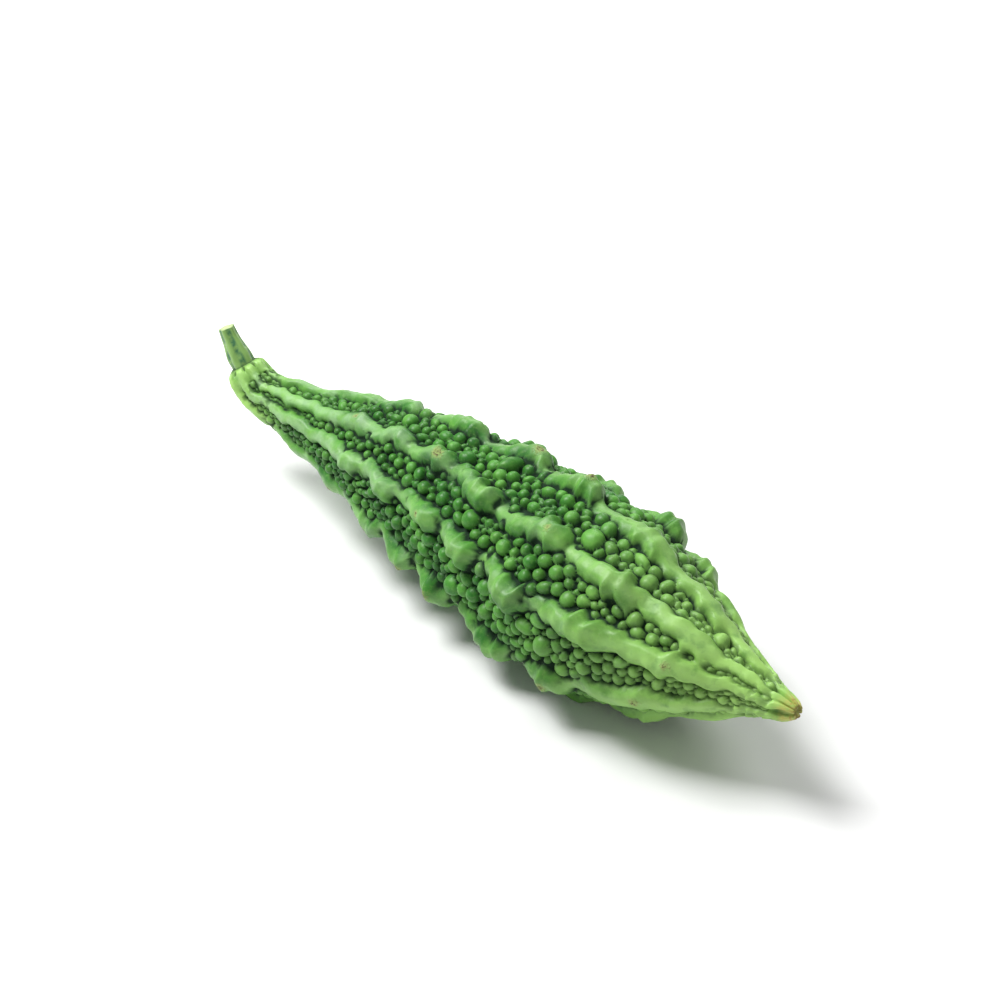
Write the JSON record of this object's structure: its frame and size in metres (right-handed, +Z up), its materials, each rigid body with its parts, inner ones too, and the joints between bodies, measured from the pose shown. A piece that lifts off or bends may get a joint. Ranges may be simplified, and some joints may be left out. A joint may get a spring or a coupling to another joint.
{
  "type": "bitter gourd",
  "caption": "Spindle-shaped green gourd with broken lengthwise ridges, packed round warts and a short cut stem, lying on its belly.",
  "frame": {"origin": "middle of the flattened wart under the belly, on the surface that the fruit lies on", "axes": "+X from the stem end to the tip, +Z up, +Y to the side that the picture shows behind"},
  "size_m": [0.2041, 0.0535, 0.0498],
  "materials": {
    "skin": "waxy, semi-gloss, mid green with dark creases and pale yellow-green ends",
    "stalk": "smooth, pale green, ribbed and cut flat"
  },
  "bodies": {
    "root": {"fruit": "skin", "stem": "stalk"}
  },
  "joints": []
}
